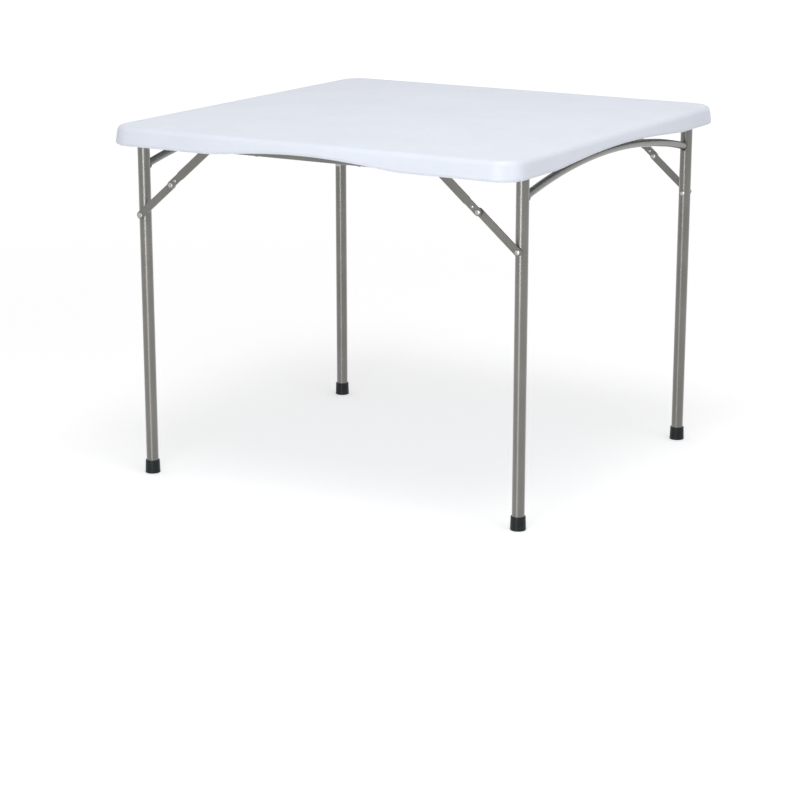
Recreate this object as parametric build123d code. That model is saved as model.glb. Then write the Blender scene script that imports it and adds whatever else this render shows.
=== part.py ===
from build123d import *
import math
import os

os.makedirs("parts", exist_ok=True)

# The table as a whole. X runs along the side rails, Y along the pivot tubes, Z up from the floor.
top_side = 940.0
table_height = 743.0

# Moulded top: skirt
skirt_depth = 40.0
skirt_wall = 17.0
skirt_draft = 5.0
corner_radius = 50.0
edge_radius = 9.0
arch_rise = 14.0
side_arch_half = 222.0
end_arch_half = 295.0

# Moulded top: underside
pocket_corner_radius = 16.0
pocket_draft = 3.0
island_thickness = 27.0
island_leg_gap = 8.3
island_corner_radius = 12.0
pad_corner_radius = 2.0
skin_thickness = 3.5
dimple_pitch = 44.0
dimple_length = 15.0
dimple_width = 10.0
dimple_narrowing = 2.5
dimple_margin = 6.0
end_pit_length = 20.0
end_pit_width = 9.0

# Side rails: box tubes seated on a ledge of the top
rail_inset = 22.0
rail_width = 15.0
rail_height = 20.0
rail_wall = 1.5
rail_round = 2.5
rail_past_pivot = 15.0
rail_seat_thickness = 18.0
seat_gap = 0.3

# Leg pairs: a pivot tube, two legs and an arched brace
pivot_inset = 46.0
pivot_diameter = 16.0
pivot_wall = 1.5
pivot_end_play = 2.0
leg_rail_gap = 30.0
pair_offset = 27.0
leg_diameter = 25.4
leg_wall = 1.3
leg_embrace = 4.0
brace_diameter = 16.0
brace_wall = 1.3
brace_end_drop = 60.0
weld_gap = 0.2

# Rubber foot caps
cap_height = 28.0
cap_base = 4.0
cap_low_diameter = 32.0
cap_high_diameter = 29.0
cap_round = 1.0
cap_fit = 0.1

# Folding braces: a lower link on the leg and an upper link on the bracket
leg_rivet_drop = 160.0
bracket_reach = 190.0
lower_link_width = 16.0
upper_link_width = 17.5
upper_head_width = 15.5
link_thickness = 3.0
stop_distance = 15.0
neck_distance = 33.0

# Rivets
rivet_diameter = 6.4
rivet_head_diameter = 11.0
rivet_head_height = 2.0
collar_diameter = 9.5
stop_diameter = 4.0
stop_head_diameter = 6.5
running_clearance = 0.05
side_play = 0.3

# Brackets of bent sheet
bracket_thickness = 2.5
bracket_width = 30.0
bracket_bend = 2.0
bracket_seat_low = 4.0

# Rail screws
screw_diameter = 4.0
screw_head_diameter = 8.0
screw_head_height = 1.8
screw_bite = 9.0
screw_clearance = 0.1

# Room for what folds, and the run of a cutter past a face
fold_clearance = 0.5
strip_clearance = 1.8
cap_clearance = 1.0
folded_gap = 5.0
overrun = 1.0

# Shares that set where repeated or rounded things stand
arch_shoulder_share = 0.55
side_shoulder_rise_share = 0.61
end_shoulder_rise_share = 0.88
screw_place_shares = (-0.80, -0.27, 0.27, 0.80)
rivet_crown_share = 0.72

# Levels above the floor
leg_radius = leg_diameter / 2
pivot_radius = pivot_diameter / 2
brace_radius = brace_diameter / 2
rail_top_z = table_height - rail_seat_thickness
rail_low_z = rail_top_z - rail_height
pivot_z = rail_low_z + rail_height / 2
skirt_low_z = table_height - skirt_depth
island_z = table_height - island_thickness
strip_room = leg_radius + strip_clearance + bracket_thickness
cap_room = cap_low_diameter / 2 + cap_clearance
floor_z = pivot_z + max(strip_room, cap_room)

# Places in plan
half_side = top_side / 2
pivot_x = half_side - pivot_inset
rail_outer_y = half_side - rail_inset
rail_inner_y = rail_outer_y - rail_width
rail_mid_y = (rail_outer_y + rail_inner_y) / 2
rail_half_length = pivot_x + rail_past_pivot
outer_leg_y = rail_inner_y - leg_rail_gap
half_spacing = outer_leg_y - pair_offset
inner_leg_y = half_spacing - pair_offset
island_half_width = inner_leg_y - leg_radius - island_leg_gap

# Arched brace: a circle through its two ends and an apex that touches the pivot tube
brace_apex_drop = pivot_radius + brace_radius + weld_gap
brace_sagitta = brace_end_drop - brace_apex_drop
brace_circle = (half_spacing ** 2 + brace_sagitta ** 2) / (2 * brace_sagitta)

# Folding brace: straight when the leg stands, folded flat when the leg lies along the rail
brace_span = math.hypot(leg_rivet_drop, bracket_reach)
fold_overlap = (leg_rivet_drop + bracket_reach - brace_span) / 2
lower_link_length = leg_rivet_drop - fold_overlap
upper_link_length = bracket_reach - fold_overlap
leg_rivet_point = (pivot_x, pivot_z - leg_rivet_drop)
bracket_point = (pivot_x - bracket_reach, pivot_z)
mid_share = lower_link_length / brace_span
stop_share = (lower_link_length + stop_distance) / brace_span
neck_share = (lower_link_length + neck_distance) / brace_span

# Stack of the folding brace, outboard from the leg's axis
lower_in = leg_radius + fold_clearance + rivet_head_height + side_play
lower_out = lower_in + link_thickness
upper_in = lower_out + rivet_head_height + 2 * side_play
upper_out = upper_in + link_thickness
ear_in = upper_out + side_play
ear_out = ear_in + bracket_thickness


def brace_point(share):
    """Point (x, z) on the straight brace, from the leg rivet towards the bracket."""
    x = leg_rivet_point[0] + share * (bracket_point[0] - leg_rivet_point[0])
    z = leg_rivet_point[1] + share * (bracket_point[1] - leg_rivet_point[1])
    return (x, z)


def rod(radius, place, low, high):
    """Round bar along Y at the place (x, z)."""
    plane = Plane(origin=(place[0], low, place[1]), z_dir=(0, 1, 0))
    return extrude(plane * Circle(radius), high - low)


def taper_of(narrowing, height):
    """Angle in degrees of a side that narrows by that much over that height."""
    return math.degrees(math.atan2(narrowing, height))


def rivet_head(radius, place, seat, hand):
    """Low conical rivet head along Y, widest at its seat; hand is the way it points."""
    face = Plane(origin=(place[0], seat, place[1]), z_dir=(0, hand, 0)) * Circle(radius)
    return extrude(face, rivet_head_height, taper=taper_of(radius * (1 - rivet_crown_share), rivet_head_height))


def seat_on_leg(shape, leg):
    """Moves a piece built beside an axis at y = 0 to the outer or the inner leg of pair a."""
    if leg == "outer":
        return Pos(0, outer_leg_y, 0) * shape
    return Pos(0, -inner_leg_y, 0) * mirror(shape, Plane.XZ)


def folded_brace_x(y, inward):
    """X of the folded arched brace of pair a at y, moved inward from its centre line."""
    centre_x = pivot_x - brace_apex_drop - brace_circle
    return centre_x + math.sqrt((brace_circle - inward) ** 2 - (y - pair_offset) ** 2)


# Moulded top

def skirt_arch(half_span, shoulder_rise_share):
    """Face of the rise in the skirt's lower edge, in the plane of the skirt."""
    shoulder = arch_shoulder_share * half_span
    shoulder_z = skirt_low_z + shoulder_rise_share * arch_rise
    start = (-half_span, skirt_low_z)
    end = (half_span, skirt_low_z)
    crown = Spline(
        start, (-shoulder, shoulder_z), (0, skirt_low_z + arch_rise), (shoulder, shoulder_z), end,
        tangents=((1, 0), (1, 0)),
    )
    below = Polyline(end, (half_span, skirt_low_z - overrun), (-half_span, skirt_low_z - overrun), start)
    return make_face(crown + below)


def moulded_shell():
    """Drafted slab with a rounded upper edge and the rises in its lower edge."""
    low = Pos(0, 0, skirt_low_z) * RectangleRounded(top_side, top_side, corner_radius)
    high_side = top_side - 2 * skirt_draft
    high = Pos(0, 0, table_height) * RectangleRounded(high_side, high_side, corner_radius - skirt_draft)
    slab = loft([low.face(), high.face()], ruled=True)
    cut_depth = skirt_wall + pocket_draft + overrun
    side = Plane(origin=(0, half_side + overrun, 0), x_dir=(1, 0, 0), z_dir=(0, -1, 0))
    end = Plane(origin=(half_side + overrun, 0, 0), x_dir=(0, 1, 0), z_dir=(-1, 0, 0))
    side_rise = extrude(upright(side) * skirt_arch(side_arch_half, side_shoulder_rise_share), cut_depth)
    end_rise = extrude(upright(end) * skirt_arch(end_arch_half, end_shoulder_rise_share), cut_depth)
    for turn in (0, 180):
        slab -= Rot(0, 0, turn) * side_rise
        slab -= Rot(0, 0, turn) * end_rise
    slab = fillet(slab.edges().group_by(Axis.Z)[-1], edge_radius)
    return slab


def upright(plane):
    """The same plane with its drawing's second axis pointing up."""
    z_dir = plane.z_dir
    return Plane(origin=plane.origin, x_dir=Vector(0, 0, 1).cross(z_dir), z_dir=z_dir)


def island_face():
    """Outline of the raised centre, whose ends follow the folded braces."""
    inward = brace_radius + folded_gap
    width = island_half_width
    near = folded_brace_x(-width, inward)
    mid = folded_brace_x(pair_offset, inward)
    far = folded_brace_x(width, inward)
    right = ThreePointArc((near, -width), (mid, pair_offset), (far, width))
    upper = Line((far, width), (-near, width))
    left = ThreePointArc((-near, width), (-mid, -pair_offset), (-far, -width))
    lower = Line((-far, -width), (near, -width))
    outline = make_face(right + upper + left + lower)
    return fillet(outline.vertices(), island_corner_radius)


def pad_face(hand):
    """Outline of one raised pad between the pivot tube and the folded brace of pair a."""
    high_x = pivot_x - pivot_radius - folded_gap
    outward = -(brace_radius + folded_gap)
    room = half_spacing - leg_radius - folded_gap
    reach = math.sqrt((brace_circle - outward) ** 2 - (high_x - folded_gap - folded_brace_centre_x()) ** 2)
    tip = pair_offset + hand * reach
    root = pair_offset + hand * room
    middle = (tip + root) / 2
    low_tip = (folded_brace_x(tip, outward), tip)
    low_mid = (folded_brace_x(middle, outward), middle)
    low_root = (folded_brace_x(root, outward), root)
    curve = ThreePointArc(low_tip, low_mid, low_root)
    rest = Polyline(low_root, (high_x, root), (high_x, tip), low_tip)
    return fillet(make_face(curve + rest).vertices(), pad_corner_radius)


def folded_brace_centre_x():
    """X of the centre of the folded brace's circle."""
    return pivot_x - brace_apex_drop - brace_circle


def raised_block(face, level):
    """Block that stands down from the recess floor to a level."""
    return extrude(Pos(0, 0, level) * face, floor_z + overrun - level)


def dimple_places():
    """Centres of the staggered dimples that fall well inside the raised centre."""
    inside = island_half_width - dimple_margin - dimple_width / 2
    inward = brace_radius + folded_gap + dimple_margin + dimple_length / 2
    count = math.ceil(2 * half_side / dimple_pitch)
    places = []
    for row in range(-count, count + 1):
        for column in range(-count, count + 1):
            if (row + column) % 2:
                continue
            x = row * dimple_pitch / 2
            y = column * dimple_pitch / 2
            if abs(y) > inside:
                continue
            if -folded_brace_x(-y, inward) < x < folded_brace_x(y, inward):
                places.append((x, y))
    return places


def dimple(length, width, level):
    """Tapered pit from a level of the underside almost to the upper skin, length along X."""
    mouth = Pos(0, 0, level) * Rectangle(length, width)
    depth = table_height - skin_thickness - level
    return extrude(mouth, depth, taper=taper_of(dimple_narrowing, depth))


def end_pit_places():
    """Centres of the row of pits between each pivot tube and the skirt."""
    near = pivot_x + pivot_radius
    far = half_side - skirt_wall - pocket_draft
    count = math.floor((rail_inner_y - end_pit_length / 2) / dimple_pitch)
    return [(hand * (near + far) / 2, step * dimple_pitch) for hand in (-1, 1) for step in range(-count, count + 1)]


def rail_seat(hand):
    """Ledge that a side rail is screwed to."""
    width = half_side - rail_inner_y - seat_gap
    centre_y = hand * (rail_inner_y + seat_gap + width / 2)
    return Pos(0, centre_y) * Rectangle(2 * rail_half_length, width)


def table_top():
    """Moulded top with its skirt, recess, raised centre and pads."""
    low_side = top_side - 2 * skirt_wall
    high_side = low_side - 2 * pocket_draft
    low = Pos(0, 0, skirt_low_z - overrun) * RectangleRounded(low_side, low_side, pocket_corner_radius)
    high = Pos(0, 0, floor_z) * RectangleRounded(high_side, high_side, pocket_corner_radius)
    recess = loft([low.face(), high.face()], ruled=True)
    recess -= raised_block(island_face(), island_z)
    for hand in (-1, 1):
        recess -= raised_block(rail_seat(hand), rail_top_z)
        for turn in (0, 180):
            recess -= Rot(0, 0, turn) * raised_block(pad_face(hand), island_z)
    body = moulded_shell() - recess
    pit = dimple(dimple_length, dimple_width, island_z)
    body -= [Pos(x, y, 0) * pit for x, y in dimple_places()]
    pit = dimple(end_pit_width, end_pit_length, floor_z)
    body -= [Pos(x, y, 0) * pit for x, y in end_pit_places()]
    holes = [screw_hole(x, y) for x, y in screw_places()]
    return body - holes


# Side rails and their screws

def screw_places():
    """Centres of the rail screws."""
    return [(share * rail_half_length, hand * rail_mid_y) for hand in (-1, 1) for share in screw_place_shares]


def screw_hole(x, y):
    """Hole for one rail screw, through the rail and up into the top."""
    plane = Plane(origin=(x, y, rail_low_z - overrun), z_dir=(0, 0, 1))
    depth = rail_height + screw_bite + overrun + screw_clearance
    return extrude(plane * Circle(screw_diameter / 2 + screw_clearance), depth)


def rail_screw(x, y):
    """Pan-head screw up through a rail."""
    shank = Plane(origin=(x, y, rail_low_z), z_dir=(0, 0, 1)) * Circle(screw_diameter / 2)
    seat = Plane(origin=(x, y, rail_low_z), z_dir=(0, 0, -1)) * Circle(screw_head_diameter / 2)
    narrowing = (1 - rivet_crown_share) * screw_head_diameter / 2
    head = extrude(seat, screw_head_height, taper=taper_of(narrowing, screw_head_height))
    return extrude(shank, rail_height + screw_bite) + head


def side_rail(hand):
    """Box tube along X with a bearing hole for each pivot tube in its inner wall."""
    centre = (-rail_half_length, hand * rail_mid_y, (rail_low_z + rail_top_z) / 2)
    plane = Plane(origin=centre, x_dir=(0, 1, 0), z_dir=(1, 0, 0))
    outer = RectangleRounded(rail_width, rail_height, rail_round)
    inner = RectangleRounded(rail_width - 2 * rail_wall, rail_height - 2 * rail_wall, rail_round - rail_wall)
    rail = extrude(plane * (outer - inner), 2 * rail_half_length)
    low, high = sorted((hand * (rail_inner_y - overrun), hand * (rail_inner_y + rail_wall + overrun)))
    for x in (-pivot_x, pivot_x):
        rail -= rod(pivot_radius + running_clearance, (x, pivot_z), low, high)
    return rail - [screw_hole(x, y) for x, y in screw_places()]


# Leg pair a; pair b is the same turned half round

def pivot_tube():
    """Tube across the table that turns in the rails."""
    end = rail_outer_y - rail_wall - pivot_end_play
    place = (pivot_x, pivot_z)
    return rod(pivot_radius, place, -end, end) - rod(pivot_radius - pivot_wall, place, -end, end)


def leg():
    """Straight leg tube, coped round the pivot tube and drilled for its rivet."""
    foot = Plane(origin=(pivot_x, 0, cap_base), z_dir=(0, 0, 1))
    tube = extrude(foot * (Circle(leg_radius) - Circle(leg_radius - leg_wall)), pivot_z + leg_embrace - cap_base)
    tube -= rod(pivot_radius + weld_gap, (pivot_x, pivot_z), -leg_diameter, leg_diameter)
    hole_radius = rivet_diameter / 2 + running_clearance
    return tube - rod(hole_radius, leg_rivet_point, -leg_diameter, leg_diameter)


def arched_brace():
    """Bowed tube between the two legs, coped onto them, whose crown meets the pivot tube."""
    ends_z = pivot_z - brace_end_drop
    start = (pivot_x, pair_offset - half_spacing, ends_z)
    crown = (pivot_x, pair_offset, pivot_z - brace_apex_drop)
    end = (pivot_x, pair_offset + half_spacing, ends_z)
    path = ThreePointArc(start, crown, end)
    plane = Plane(origin=path @ 0, z_dir=path % 0)
    tube = sweep(plane * (Circle(brace_radius) - Circle(brace_radius - brace_wall)), path=path)
    for y in (start[1], end[1]):
        cope = Plane(origin=(pivot_x, y, 0), z_dir=(0, 0, 1)) * Circle(leg_radius + weld_gap)
        tube -= extrude(cope, pivot_z)
    return tube


def foot_cap():
    """Rubber cup under a leg, wider at the floor."""
    low_radius = cap_low_diameter / 2
    high_radius = cap_high_diameter / 2
    rim_z = cap_height - cap_round
    outline = Polyline(
        (0, 0), (low_radius - cap_round, 0), (low_radius, cap_round), (high_radius, rim_z),
        (high_radius - cap_round, cap_height), (0, cap_height), (0, 0),
    )
    cup = revolve(Plane.XZ * make_face(outline), Axis.Z)
    socket = Pos(0, 0, cap_base) * Circle(leg_radius + cap_fit)
    return Pos(pivot_x, 0, 0) * (cup - extrude(socket, cap_height))


def leg_rivet():
    """Rivet through the leg with a collar that keeps the lower link clear of the tube."""
    head_radius = rivet_head_diameter / 2
    inner = rivet_head(head_radius, leg_rivet_point, -leg_radius, -1)
    outer_seat = lower_out + side_play
    shank = rod(rivet_diameter / 2, leg_rivet_point, -leg_radius, outer_seat)
    collar = rod(collar_diameter / 2, leg_rivet_point, leg_radius, lower_in - side_play)
    outer = rivet_head(head_radius, leg_rivet_point, outer_seat, 1)
    return inner + shank + collar + outer


# Folding brace

def flat_bar(start, end, low_y, width):
    """Flat bar with round ends whose centres are the two places."""
    length = math.hypot(end[0] - start[0], end[1] - start[1])
    middle = ((start[0] + end[0]) / 2, low_y, (start[1] + end[1]) / 2)
    along = (end[0] - start[0], 0, end[1] - start[1])
    plane = Plane(origin=middle, x_dir=along, z_dir=(0, 1, 0))
    return extrude(plane * SlotCenterToCenter(length, width), link_thickness)


def link_hole(diameter, place, low_y):
    """Hole through a link, with its running clearance."""
    radius = diameter / 2 + running_clearance
    return rod(radius, place, low_y - overrun, low_y + link_thickness + overrun)


def lower_link():
    """Link from the leg rivet to the middle pivot."""
    mid = brace_point(mid_share)
    bar = flat_bar(leg_rivet_point, mid, lower_in, lower_link_width)
    return bar - [link_hole(rivet_diameter, place, lower_in) for place in (leg_rivet_point, mid)]


def upper_link():
    """Link from the middle pivot to the bracket, narrower at its head, where the stop rivet sits."""
    mid = brace_point(mid_share)
    bar = flat_bar(mid, bracket_point, upper_in, upper_head_width)
    bar += flat_bar(brace_point(neck_share), bracket_point, upper_in, upper_link_width)
    bar -= [link_hole(rivet_diameter, place, upper_in) for place in (mid, bracket_point)]
    return bar - link_hole(stop_diameter, brace_point(stop_share), upper_in)


def pivot_stud():
    """Half of the middle pivot that stays with the upper link."""
    place = brace_point(mid_share)
    head = rivet_head(rivet_head_diameter / 2, place, upper_out, 1)
    shank = rod(rivet_diameter / 2, place, upper_in, upper_out)
    collar = rod(collar_diameter / 2, place, lower_out + side_play, upper_in)
    return head + shank + collar


def pivot_cap():
    """Half of the middle pivot that stays with the lower link."""
    place = brace_point(mid_share)
    head = rivet_head(rivet_head_diameter / 2, place, lower_in, -1)
    return head + rod(rivet_diameter / 2, place, lower_in, lower_out)


def stop_rivet():
    """Small rivet in the upper link, just past the middle pivot."""
    place = brace_point(stop_share)
    head_radius = stop_head_diameter / 2
    heads = rivet_head(head_radius, place, upper_in, -1) + rivet_head(head_radius, place, upper_out, 1)
    return heads + rod(stop_diameter / 2, place, upper_in, upper_out)


def bracket_rivet():
    """Rivet that hangs the upper link from its bracket."""
    head_radius = rivet_head_diameter / 2
    inner_seat = upper_in - side_play
    inner = rivet_head(head_radius, bracket_point, inner_seat, -1)
    shank = rod(rivet_diameter / 2, bracket_point, inner_seat, ear_out)
    outer = rivet_head(head_radius, bracket_point, ear_out, 1)
    return inner + shank + outer


# Brackets, each built beside the axis of the leg that it serves

def ear_hole():
    """Hole for the bracket rivet."""
    radius = rivet_diameter / 2 + running_clearance
    return rod(radius, bracket_point, ear_in - overrun, ear_out + overrun)


def inner_bracket():
    """Bent strip from the rail, over the other pair's folded leg, to an ear beside the inner leg."""
    rail_face = rail_inner_y - inner_leg_y
    sheet = bracket_thickness
    ear_low = pivot_z - bracket_width / 2 + bracket_seat_low
    foot_low = rail_low_z + bracket_seat_low
    outside = FilletPolyline(
        (ear_in, ear_low), (ear_in, floor_z), (rail_face, floor_z), (rail_face, foot_low),
        radius=bracket_bend + sheet,
    )
    foot = Line((rail_face, foot_low), (rail_face - sheet, foot_low))
    inside = FilletPolyline(
        (rail_face - sheet, foot_low), (rail_face - sheet, floor_z - sheet), (ear_out, floor_z - sheet),
        (ear_out, ear_low), radius=bracket_bend,
    )
    tip = Line((ear_out, ear_low), (ear_in, ear_low))
    start_x = bracket_point[0] - bracket_width / 2
    plane = Plane(origin=(start_x, 0, 0), x_dir=(0, 1, 0), z_dir=(1, 0, 0))
    strip = extrude(plane * make_face(outside + foot + inside + tip), bracket_width)
    corners = strip.edges().filter_by(Axis.Y).filter_by(lambda edge: edge.center().Y < ear_out)
    strip = fillet(corners.group_by(Axis.Z)[0], bracket_width / 2 - bracket_seat_low)
    return strip - ear_hole()


def outer_bracket():
    """Shallow pressed channel on the rail, with its web beside the outer leg."""
    rail_face = rail_inner_y - outer_leg_y
    depth = rail_face - ear_in
    low_z = rail_low_z + bracket_seat_low / 2
    plane = Plane(origin=(bracket_point[0], 0, low_z), x_dir=(1, 0, 0), z_dir=(0, 0, 1))
    block = Pos(0, ear_in + depth / 2) * Rectangle(bracket_width, depth)
    hollow_width = bracket_width - 2 * bracket_thickness
    hollow_depth = rail_face - ear_out + overrun
    hollow = Pos(0, ear_out + hollow_depth / 2) * Rectangle(hollow_width, hollow_depth)
    return extrude(plane * (block - hollow), rail_height - bracket_seat_low) - ear_hole()


def write(name, *solids):
    """Writes one named piece, or a group of like pieces, to its own file."""
    shape = solids[0] if len(solids) == 1 else Compound(children=list(solids))
    export_step(shape, f"parts/{name}.step")


write("table_top", table_top())
write("rail_left", side_rail(-1))
write("rail_right", side_rail(1))
write("rail_screws", *[rail_screw(x, y) for x, y in screw_places()])

brackets = {"outer": outer_bracket(), "inner": inner_bracket()}
legs = ("outer", "inner")
pairs = {"a": 0, "b": 180}

hung_rivets = []
for pair, angle in pairs.items():
    turn = Rot(0, 0, angle)
    write(f"pivot_tube_{pair}", turn * pivot_tube())
    write(f"arched_brace_{pair}", turn * arched_brace())
    write(f"leg_rivets_{pair}", *[turn * seat_on_leg(leg_rivet(), side) for side in legs])
    for side in legs:
        name = f"{pair}_{side}"
        write(f"leg_{name}", turn * seat_on_leg(leg(), side))
        write(f"foot_cap_{name}", turn * seat_on_leg(foot_cap(), side))
        write(f"lower_link_{name}", turn * seat_on_leg(lower_link(), side))
        write(f"upper_link_{name}", turn * seat_on_leg(upper_link(), side))
        write(f"pivot_stud_{name}", turn * seat_on_leg(pivot_stud(), side))
        write(f"pivot_cap_{name}", turn * seat_on_leg(pivot_cap(), side))
        write(f"stop_rivet_{name}", turn * seat_on_leg(stop_rivet(), side))
        write(f"bracket_{name}", turn * seat_on_leg(brackets[side], side))
        hung_rivets.append(turn * seat_on_leg(bracket_rivet(), side))
write("bracket_rivets", *hung_rivets)
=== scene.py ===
"""Folding card table: the finished look of every piece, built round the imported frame."""

import logging
import math
from contextlib import contextmanager
from dataclasses import dataclass
from enum import Enum
from typing import Callable, Iterator, Sequence

import bmesh
import bpy
from mathutils import Matrix, Vector


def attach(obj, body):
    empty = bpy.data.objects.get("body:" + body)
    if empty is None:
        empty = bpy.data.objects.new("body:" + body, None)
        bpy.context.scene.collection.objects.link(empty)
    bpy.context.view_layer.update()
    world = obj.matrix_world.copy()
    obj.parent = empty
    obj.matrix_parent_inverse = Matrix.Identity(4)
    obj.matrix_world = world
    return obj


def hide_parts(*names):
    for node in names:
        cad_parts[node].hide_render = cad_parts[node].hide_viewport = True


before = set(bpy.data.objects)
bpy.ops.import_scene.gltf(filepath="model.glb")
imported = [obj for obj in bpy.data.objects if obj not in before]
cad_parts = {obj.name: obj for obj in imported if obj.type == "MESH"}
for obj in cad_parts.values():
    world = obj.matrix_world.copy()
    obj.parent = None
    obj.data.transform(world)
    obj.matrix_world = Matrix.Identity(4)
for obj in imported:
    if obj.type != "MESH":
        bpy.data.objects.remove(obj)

Point = tuple[float, float, float]
Colour = tuple[float, float, float]
Profile = list[tuple[float, float]]
Inputs = tuple[tuple[str, float], ...]
Obj = bpy.types.Object
Socket = bpy.types.NodeSocket
Material = bpy.types.Material
Edge = bmesh.types.BMEdge

LOG = logging.getLogger("card_table")
TINY = 1e-5
NEAR = 1e-4
FACING = 0.9
LONG = 0.1
HANDS = (-1, 1)
UP: Point = (0, 0, 1)
ALONG_Y: Point = (0, 1, 0)
WHITE = (1, 1, 1, 1)


class Pair(Enum):
    """The two leg pairs; pair b is pair a turned half round."""

    A = "a"
    B = "b"

    @property
    def sign(self) -> int:
        """1 for pair a, -1 for pair b."""
        return 1 if self is Pair.A else -1


class Side(Enum):
    """The leg beside the rail, and the one that stands further in."""

    OUTER = "outer"
    INNER = "inner"

    @property
    def sign(self) -> int:
        """Which way from the leg its folding brace stands, in pair a."""
        return 1 if self is Side.OUTER else -1


class Slot(Enum):
    """Material slots of the part's record."""

    RESIN = "moulded_resin"
    PAINT = "frame_paint"
    ZINC = "zinc"
    RUBBER = "rubber"


# Working in the modeller


def pick(obj: Obj) -> Obj:
    """Makes one object the only one selected, and the active one.

    Args:
        obj: The object to work on.

    Returns:
        The same object.
    """
    if bpy.context.mode != "OBJECT":
        bpy.ops.object.mode_set(mode="OBJECT")
    bpy.ops.object.select_all(action="DESELECT")
    obj.select_set(True)
    bpy.context.view_layer.objects.active = obj
    return obj


def settle(obj: Obj) -> Obj:
    """Puts an object's place, turn and scale into its mesh."""
    pick(obj)
    bpy.ops.object.transform_apply(location=True, rotation=True, scale=True)
    return obj


def named(obj: Obj, name: str) -> Obj:
    """Names an object and its mesh."""
    obj.name = name
    obj.data.name = name
    return obj


def add(name: str, operator: Callable[..., object], **settings: object) -> Obj:
    """Adds a primitive, with nothing else selected, and names it.

    Args:
        name: Name of the new object.
        operator: The modeller's operator for the primitive.
        settings: Its size and place.

    Returns:
        The new object.
    """
    bpy.ops.object.select_all(action="DESELECT")
    operator(**settings)
    return named(bpy.context.active_object, name)


@contextmanager
def editing(obj: Obj) -> Iterator[None]:
    """Opens an object in edit mode with all of it selected, and closes it afterwards.

    Args:
        obj: The object.

    Yields:
        Nothing; the block that follows works on the open mesh.
    """
    pick(obj)
    bpy.ops.object.mode_set(mode="EDIT")
    bpy.ops.mesh.select_all(action="SELECT")
    yield
    bpy.ops.object.mode_set(mode="OBJECT")


def modify(obj: Obj, kind: str, **settings: object) -> Obj:
    """Adds a modifier to an object and applies it.

    Args:
        obj: The object.
        kind: Type of the modifier.
        settings: Values of its properties.

    Returns:
        The same object.
    """
    pick(obj)
    bpy.ops.object.modifier_add(type=kind)
    modifier = obj.modifiers[-1]
    for key, value in settings.items():
        setattr(modifier, key, value)
    bpy.ops.object.modifier_apply(modifier=modifier.name)
    return obj


def aim(obj: Obj, direction: Sequence[float], axis: str = "Z") -> None:
    """Turns an object until one of its axes points in a direction.

    Args:
        obj: The object.
        direction: Where the axis is to point.
        axis: Which of its axes.
    """
    obj.rotation_mode = "QUATERNION"
    obj.rotation_quaternion = Vector(direction).to_track_quat(axis, "Y")


def extrude(*run: float) -> None:
    """Extrudes what is selected along a run."""
    bpy.ops.mesh.extrude_region_move(TRANSFORM_OT_translate={"value": run})


def narrow(share: float, height: float) -> None:
    """Scales what is selected towards the Z axis, at a height."""
    bpy.ops.transform.resize(value=(share, share, 1), center_override=(0, 0, height))


def point_out() -> None:
    """Points every face of the open mesh outwards."""
    bpy.ops.mesh.select_all(action="SELECT")
    bpy.ops.mesh.normals_make_consistent(inside=False)


def select(obj: Obj, kind: str, wanted: Callable[..., bool]) -> int:
    """Selects elements of an object in edit mode, and nothing else.

    Args:
        obj: Object that is in edit mode.
        kind: VERT, EDGE or FACE.
        wanted: Says whether an element is wanted.

    Returns:
        How many elements were selected.
    """
    bpy.ops.mesh.select_mode(type=kind)
    bpy.ops.mesh.select_all(action="DESELECT")
    mesh = bmesh.from_edit_mesh(obj.data)
    elements = {"VERT": mesh.verts, "EDGE": mesh.edges, "FACE": mesh.faces}[kind]
    chosen = [element for element in elements if wanted(element)]
    for element in chosen:
        element.select_set(True)
    if kind == "VERT":
        mesh.select_flush_mode()
    bmesh.update_edit_mesh(obj.data)
    return len(chosen)


def is_sharp(edge: Edge) -> bool:
    """Says whether the two faces at an edge stand nearly square to each other."""
    return len(edge.link_faces) == 2 and edge.calc_face_angle(0.0) > math.radians(60)


def is_upright(edge: Edge) -> bool:
    """Says whether an edge runs straight up."""
    run = edge.verts[0].co - edge.verts[1].co
    return abs(run.x) < TINY and abs(run.y) < TINY


def runs_along(edge: Edge) -> bool:
    """Says whether a long edge runs along X."""
    return abs(edge.verts[0].co.x - edge.verts[1].co.x) > LONG


def above(height: float) -> Callable[..., bool]:
    """Test for edges and faces that lie at a height or over it."""
    return lambda element: all(vert.co.z > height - TINY for vert in element.verts)


def below(height: float) -> Callable[..., bool]:
    """Test for edges and faces that lie at a height or under it."""
    return lambda element: all(vert.co.z < height + TINY for vert in element.verts)


def bevel_edges(obj: Obj, wanted: Callable[[Edge], bool], radius: float, segments: int) -> None:
    """Rounds the wanted edges of an object.

    Args:
        obj: Object to work on.
        wanted: Says whether an edge is wanted.
        radius: Width of the bevel.
        segments: Number of faces across it.
    """
    with editing(obj):
        if select(obj, "EDGE", wanted):
            bpy.ops.mesh.bevel(offset=radius, offset_type="OFFSET", segments=segments, profile=0.5,
                               affect="EDGES", clamp_overlap=True)


def combine(target: Obj, tool: Obj, operation: str = "DIFFERENCE") -> Obj:
    """Cuts, joins or intersects the target with a tool, which is used up.

    Args:
        target: Object that is kept.
        tool: Object that is removed afterwards.
        operation: DIFFERENCE, UNION or INTERSECT.

    Returns:
        The target.
    """
    modify(target, "BOOLEAN", operation=operation, object=tool, solver="EXACT")
    bpy.data.objects.remove(tool, do_unlink=True)
    return target


def merge(objects: Sequence[Obj], name: str) -> Obj:
    """Joins several objects into the first one.

    Args:
        objects: The objects.
        name: Name of the joined object.

    Returns:
        The joined object.
    """
    pick(objects[0])
    for obj in objects[1:]:
        obj.select_set(True)
    bpy.ops.object.join()
    return named(objects[0], name)


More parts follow.
